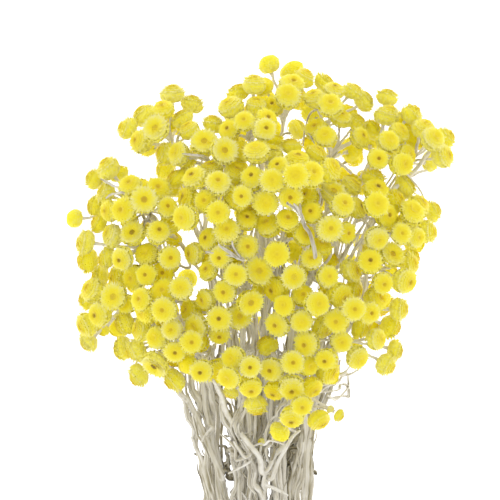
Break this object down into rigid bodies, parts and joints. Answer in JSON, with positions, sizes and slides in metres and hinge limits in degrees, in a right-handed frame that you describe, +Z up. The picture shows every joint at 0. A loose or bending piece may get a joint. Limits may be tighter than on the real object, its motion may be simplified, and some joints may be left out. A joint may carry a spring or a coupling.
{
  "type": "dried flower bunch",
  "caption": "Dried bunch of dwarf everlasting laid down: crooked woolly stems that fan out to a round crown of small papery yellow flower heads",
  "frame": {"origin": "middle of the bottom of the bounding box, on the surface that the bunch lies on", "axes": "+Y from the cut ends to the crown of heads, +Z up from the surface, X across the bunch"},
  "size_m": [0.1444, 0.2773, 0.0881],
  "materials": {
    "bracts": "matt papery yellow bracts, paler at their tips",
    "stems": "matt grey-beige wool over a dry ridged stem"
  },
  "bodies": {
    "root": {"spray_centre": "bracts", "spray_centre_left": "bracts", "spray_centre_left_face": "bracts", "spray_centre_low": "bracts", "spray_centre_low_left": "bracts", "spray_centre_top_left": "bracts", "spray_centre_top_right": "bracts", "spray_far_right_tip": "bracts", "spray_left_edge_lower": "bracts", "spray_left_edge_middle": "bracts", "spray_left_edge_upper": "bracts", "spray_left_inner": "bracts", "spray_left_lower_inner": "bracts", "spray_left_shoulder": "bracts", "spray_low_left_front": "bracts", "spray_lower_front": "bracts", "spray_lower_left": "bracts", "spray_lower_middle": "bracts", "spray_lowest": "bracts", "spray_middle_low": "bracts", "spray_middle_low_left": "bracts", "spray_right_centre": "bracts", "spray_right_edge_lower": "bracts", "spray_right_inner": "bracts", "spray_right_low": "bracts", "spray_right_lowest": "bracts", "spray_right_middle_inner": "bracts", "spray_right_middle_outer": "bracts", "spray_right_shoulder": "bracts", "spray_top_inner_left": "bracts", "spray_top_left": "bracts", "spray_top_middle": "bracts", "spray_top_right_umbel": "bracts", "spray_under_left": "bracts", "spray_under_low": "bracts", "spray_under_middle": "bracts", "spray_under_right": "bracts", "spray_under_top": "bracts", "spray_under_top_left": "bracts", "spray_under_top_right": "bracts"}
  },
  "joints": []
}
